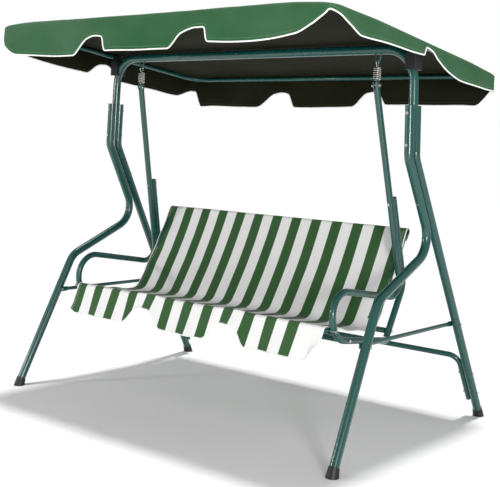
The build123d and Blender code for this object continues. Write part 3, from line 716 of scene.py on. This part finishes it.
class SWING_OT_sling(bpy.types.Operator):
    """Striped sling: one sheet from the back top tube, over the seat, to the scalloped hem"""
    bl_idname = "swing.sling"
    bl_label = "Seat sling"

    COLUMNS = 256

    def profile(self):
        """The sling's side outline, from the tuck behind the top tube to the hem."""
        down = Vector((0.0, -BACK_SLOPE, -1.0)).normalized()
        out = Vector((0.0, -1.0, BACK_SLOPE)).normalized()
        face = TOP_TUBE + out * WRAP - down * WRAP
        crease = Vector((0.0, face.y - BACK_SLOPE * (face.z - CREASE_Z), CREASE_Z))
        edge = FRONT_TUBE + Vector((0.0, -WRAP, WRAP * 1.18))
        hem = Vector((0.0, edge.y - HEM_LEAN, HEM_Z))
        corners = [TOP_TUBE - out * WRAP + down * 0.034, TOP_TUBE - out * WRAP - down * WRAP, face,
                   crease, edge, hem]
        return filleted(corners, [WRAP * 0.98, WRAP * 0.98, 0.045, WRAP * 0.9], 0.0055), crease

    def execute(self, context):
        size = sizes()
        path, crease = self.profile()
        count = len(path)
        travel = [0.0]
        for first, second in zip(path, path[1:]):
            travel.append(travel[-1] + (second - first).length)
        fold = min(range(count), key=lambda i: (path[i] - crease).length)
        lip = min(range(fold, count), key=lambda i: (path[i] - FRONT_TUBE).length)
        first_face = min(range(fold), key=lambda i: (path[i] - TOP_TUBE).length) + 3
        points, cloth, edge = [], [], []
        for index, spot in enumerate(path):
            run = (path[min(index + 1, count - 1)] - path[max(index - 1, 0)]).normalized()
            normal = Vector((0.0, run.z, -run.y))
            width = self.half_width(spot, index, first_face, fold)
            for column in range(self.COLUMNS + 1):
                share = column / self.COLUMNS * 2 - 1
                x = share * width
                place = self.shaped(x, share, index, spot, normal, path, travel,
                                    (first_face, fold, lip))
                points.append(place)
                cloth.append((x, travel[index]))
                edge.append((travel[index], width - abs(x)))
        columns = self.COLUMNS + 1
        faces = [(row * columns + column, row * columns + column + 1,
                  (row + 1) * columns + column + 1, (row + 1) * columns + column)
                 for row in range(count - 1) for column in range(self.COLUMNS)]
        sheet = mesh_object("sling_sheet", points, faces, ["sling"],
                            {"cloth": cloth, "edge": edge})
        loop = [points[row * columns].copy() for row in range(count)]
        loop += [points[(count - 1) * columns + column].copy() for column in range(1, columns)]
        loop += [points[row * columns + columns - 1].copy() for row in range(count - 2, -1, -1)]
        skin = sheet.modifiers.new("Thickness", "SOLIDIFY")
        skin.thickness = SLING_CLOTH
        skin.offset = 0.0
        apply_modifiers(sheet)
        piping = sweep("sling_piping", loop, size.piping * 0.9, "piping")
        for piece in (sheet, piping):
            ride(piece, "seat")
        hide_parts("seat_sling")
        return {"FINISHED"}

    def half_width(self, spot, index, first_face, fold):
        """The sheet widens from the back's top down to the seat."""
        if index <= first_face:
            return SLING_TOP_HALF
        if index >= fold:
            return SLING_FRONT_HALF
        share = (TOP_TUBE.z - spot.z) / (TOP_TUBE.z - CREASE_Z)
        return SLING_TOP_HALF + (SLING_FRONT_HALF - SLING_TOP_HALF) * min(1.0, max(0.0, share))

    def shaped(self, x, share, index, spot, normal, path, travel, marks):
        """One point of the sling, dipped between its tubes and rippled below the lip."""
        first_face, fold, lip = marks
        size = sizes()
        push, drop = 0.0, 0.0
        near_edge = smooth(0.75, 1.0, abs(share))
        if first_face < index < fold:
            part = (travel[index] - travel[first_face]) / (travel[fold] - travel[first_face])
            push -= size.pan_sag * math.sin(math.pi * part) * (1 - 0.4 * near_edge)
            push += 0.0016 * math.sin(part * 21.0) * near_edge
        elif fold <= index < lip:
            part = (travel[index] - travel[fold]) / (travel[lip] - travel[fold])
            push -= size.pan_sag * math.sin(math.pi * part) ** 1.2 * (1 - 0.3 * near_edge)
            push += 0.0022 * math.sin(part * 17.0 + 1.0) * near_edge
        crinkle = 0.0011 * noise.noise(Vector((x * 7.0, travel[index] * 10.0, 1.0)))
        crinkle += 0.0006 * noise.noise(Vector((x * 22.0, travel[index] * 16.0, 5.0)))
        hold = smooth(0.0, 0.04, abs(travel[index] - travel[lip]))
        hold *= smooth(0.0, 0.06, travel[index])
        push += crinkle * hold
        place = spot + normal * push + Vector((x, 0.0, 0.0))
        if index >= lip:
            depth = (travel[index] - travel[lip]) / (travel[-1] - travel[lip])
            rise = HEM_ARCH_RISE * max(arch(x, side * HEM_ARCH_X, HEM_ARCH_HALF, HEM_ARCH_FLAT)
                                       for side in (-1, 1))
            lift = rise * depth
            place.z += lift
            place.y += lift * HEM_LEAN / (FRONT_TUBE.z - HEM_Z)
            ripple = math.sin(x * 27.0 + 0.6) + 0.5 * math.sin(x * 61.0)
            place.y -= 0.0055 * ripple * depth ** 1.3
            place.x -= HEM_SHIFT * depth
            corner = smooth(0.93, 1.0, share) * smooth(0.45, 1.0, depth)
            place.z += RIGHT_LIFT * corner
            place.x -= RIGHT_PULL * corner
            end = smooth(0.95, 1.0, -share) * smooth(0.7, 1.0, depth)
            place.z += LEFT_LIFT * end
        return place


# ---- springs ----
HOOK_TOP, RING_LOW = 1.4073, 1.3097
HOOK_RING = 0.009
COIL_TOP, COIL_BOTTOM = 1.3835, 1.3345
COIL_TURNS, COIL_RADIUS, COIL_NECK = 7.0, 0.0130, 0.004
COIL_STEPS, COIL_EASE = 28, 14.0  # points in each turn; points over which a coil opens
HOOK_STEPS = 24


class SWING_OT_springs(bpy.types.Operator):
    """Springs: one wire each, with a hook, a close coil and a lower ring"""
    bl_idname = "swing.springs"
    bl_label = "Springs"

    def execute(self, context):
        wire = sizes().wire
        for word, side in SIDES.items():
            low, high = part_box("hanger_bolt_" + word)
            head = Vector(((low[0] + high[0]) / 2, (low[1] + high[1]) / 2, 0.0))
            eye_low, eye_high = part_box("spring_eye_" + word)
            head.x = (eye_low[0] + eye_high[0]) / 2
            path = [head + spot for spot in self.wire_path()]
            coil = sweep("spring_coil_" + word, path, wire, "zinc", sides=12)
            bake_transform(coil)
            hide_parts("spring_" + word)
        return {"FINISHED"}

    def wire_path(self):
        """Centre line of one spring's wire, from the hook to the lower ring."""
        def loop(middle, first_turn):
            for step in range(HOOK_STEPS + 1):
                turn = math.radians(first_turn + 300 * step / HOOK_STEPS)
                spots.append(Vector((0.0, -HOOK_RING * math.sin(turn),
                                     middle + HOOK_RING * math.cos(turn))))

        spots = []
        loop(HOOK_TOP - HOOK_RING, -150)
        steps = int(COIL_TURNS * COIL_STEPS)
        for step in range(steps + 1):
            turn = 2 * math.pi * COIL_TURNS * step / steps - math.pi / 2
            ease = smooth(0.0, COIL_EASE, step) * smooth(0.0, COIL_EASE, steps - step)
            radius = COIL_NECK + (COIL_RADIUS - COIL_NECK) * ease
            spots.append(Vector((radius * math.cos(turn), radius * math.sin(turn),
                                 COIL_TOP + (COIL_BOTTOM - COIL_TOP) * step / steps)))
        loop(RING_LOW + HOOK_RING, 30)
        return spots


# ---- carried-over frame parts ----
FINISH_OF = {"stand_paint": "paint", "seat_paint": "paint", "canopy_paint": "paint",
             "zinc": "zinc", "spring_wire": "zinc", "black_plastic": "plastic",
             "bracket_plastic": "plastic", "canopy_fabric": "roof", "sling_fabric": "sling"}


class SWING_OT_finishes(bpy.types.Operator):
    """Paint, plating and plastic on every tube, bolt, cap and bracket"""
    bl_idname = "swing.finishes"
    bl_label = "Frame finishes"

    def execute(self, context):
        slots = {row["node"]: row["material_slot"] for row in frame["record"]["subparts"]}
        for node, piece in NODES.items():
            finish = material(FINISH_OF[slots[node]])
            for entry in piece.material_slots:
                entry.material = finish
        return {"FINISHED"}


# ---- stage ----
CAMERA_PLACE = (2.502, -3.0755, 1.0633)
CAMERA_TURN, CAMERA_PITCH, CAMERA_ROLL = (math.radians(angle) for angle in (38.665, -5.604, 2.467))
LENS = 69.16
SKY_LIGHT, SKY_SEEN = 0.50, 1.0  # strength of the sky as light, and as background
LAMP_AIM = Vector((0.0, 0.0, 0.7))


class SWING_OT_stage(bpy.types.Operator):
    """Camera, pale floor and soft daylight"""
    bl_idname = "swing.stage"
    bl_label = "Stage"

    def execute(self, context):
        self.camera()
        world = bpy.data.worlds.new("Daylight")
        context.scene.world = world
        world.use_nodes = True
        graph = Graph(world.node_tree)
        sky = world.node_tree.nodes["Background"]
        sky.inputs["Color"].default_value = (1.0, 1.0, 1.0, 1.0)
        seen = graph.node("ShaderNodeLightPath").outputs["Is Camera Ray"]
        graph.put(graph.ramp(seen, 0.0, 1.0, SKY_LIGHT, SKY_SEEN), sky.inputs["Strength"])
        context.scene.view_settings.view_transform = "Standard"
        self.floor()
        self.sun("Daylight", (-0.05, 0.08, 1.0), 2.3, 0.10)
        self.lamp("Key", (4.4, -3.6, 1.3), 130.0, 1.0)
        self.lamp("Strip", (-2.6, -3.2, 1.6), 30.0, 0.4)
        return {"FINISHED"}

    def camera(self):
        turn, pitch, roll = CAMERA_TURN, CAMERA_PITCH, CAMERA_ROLL
        forward = Vector((-math.sin(turn) * math.cos(pitch), math.cos(turn) * math.cos(pitch),
                          math.sin(pitch)))
        level = Vector((math.cos(turn), math.sin(turn), 0.0))
        upright = level.cross(forward)
        right = level * math.cos(roll) + upright * math.sin(roll)
        up = upright * math.cos(roll) - level * math.sin(roll)
        data = bpy.data.cameras.new("Camera")
        data.sensor_width = 36.0
        data.lens = LENS
        made = bpy.data.objects.new("Camera", data)
        place = Matrix((right, up, -forward)).transposed().to_4x4()
        place.translation = Vector(CAMERA_PLACE)
        made.matrix_world = place
        bpy.context.scene.collection.objects.link(made)
        bpy.context.scene.camera = made

    def floor(self):
        mesh = bpy.data.meshes.new("floor")
        build = bmesh.new()
        bmesh.ops.create_grid(build, x_segments=8, y_segments=8, size=30.0)
        build.to_mesh(mesh)
        build.free()
        made = bpy.data.objects.new("floor", mesh)
        bpy.context.scene.collection.objects.link(made)
        pale, graph, shader = new_material("Pale floor", {"Base Color": (0.86, 0.86, 0.86),
                                                          "Roughness": 0.9})
        grain = graph.noise(graph.place(), 3.0, 3.0, 0.5)
        graph.put(graph.mix(grain, (0.84, 0.84, 0.84), (0.88, 0.88, 0.88)),
                  shader.inputs["Base Color"])
        mesh.materials.append(pale)

    def sun(self, name, towards, power, spread):
        data = bpy.data.lights.new(name, "SUN")
        data.energy = power
        data.angle = spread
        made = bpy.data.objects.new(name, data)
        made.rotation_euler = Vector(towards).to_track_quat("Z", "Y").to_euler()
        bpy.context.scene.collection.objects.link(made)

    def lamp(self, name, place, power, size):
        data = bpy.data.lights.new(name, "AREA")
        data.energy = power
        data.shape = "DISK"
        data.size = size
        made = bpy.data.objects.new(name, data)
        made.location = place
        aim = LAMP_AIM - Vector(place)
        made.rotation_euler = aim.to_track_quat("-Z", "Y").to_euler()
        bpy.context.scene.collection.objects.link(made)


class SWING_PT_panel(bpy.types.Panel):
    """Sidebar list of the bench's pieces"""
    bl_idname = "SWING_PT_panel"
    bl_label = "Canopy swing bench"
    bl_space_type = "VIEW_3D"
    bl_region_type = "UI"
    bl_category = "Swing"

    def draw(self, context):
        for settings in (context.scene.swing_sizes, context.scene.swing_finishes):
            for key in settings.bl_rna.properties.keys():
                if key not in ("rna_type", "name"):
                    self.layout.prop(settings, key)
        for operator in OPERATORS:
            self.layout.operator(operator.bl_idname)


OPERATORS = (SWING_OT_stage, SWING_OT_finishes, SWING_OT_springs, SWING_OT_sling,
             SWING_OT_canopy)
CLASSES = (SwingFinishes, SwingSizes, *OPERATORS, SWING_PT_panel)


def register():
    for entry in CLASSES:
        bpy.utils.register_class(entry)
    bpy.types.Scene.swing_finishes = bpy.props.PointerProperty(type=SwingFinishes)
    bpy.types.Scene.swing_sizes = bpy.props.PointerProperty(type=SwingSizes)


def unregister():
    del bpy.types.Scene.swing_sizes
    del bpy.types.Scene.swing_finishes
    for entry in reversed(CLASSES):
        bpy.utils.unregister_class(entry)


def main():
    register()
    bpy.ops.swing.stage()
    bpy.ops.swing.finishes()
    bpy.ops.swing.springs()
    bpy.ops.swing.sling()
    bpy.ops.swing.canopy()


if __name__ == "__main__":
    main()
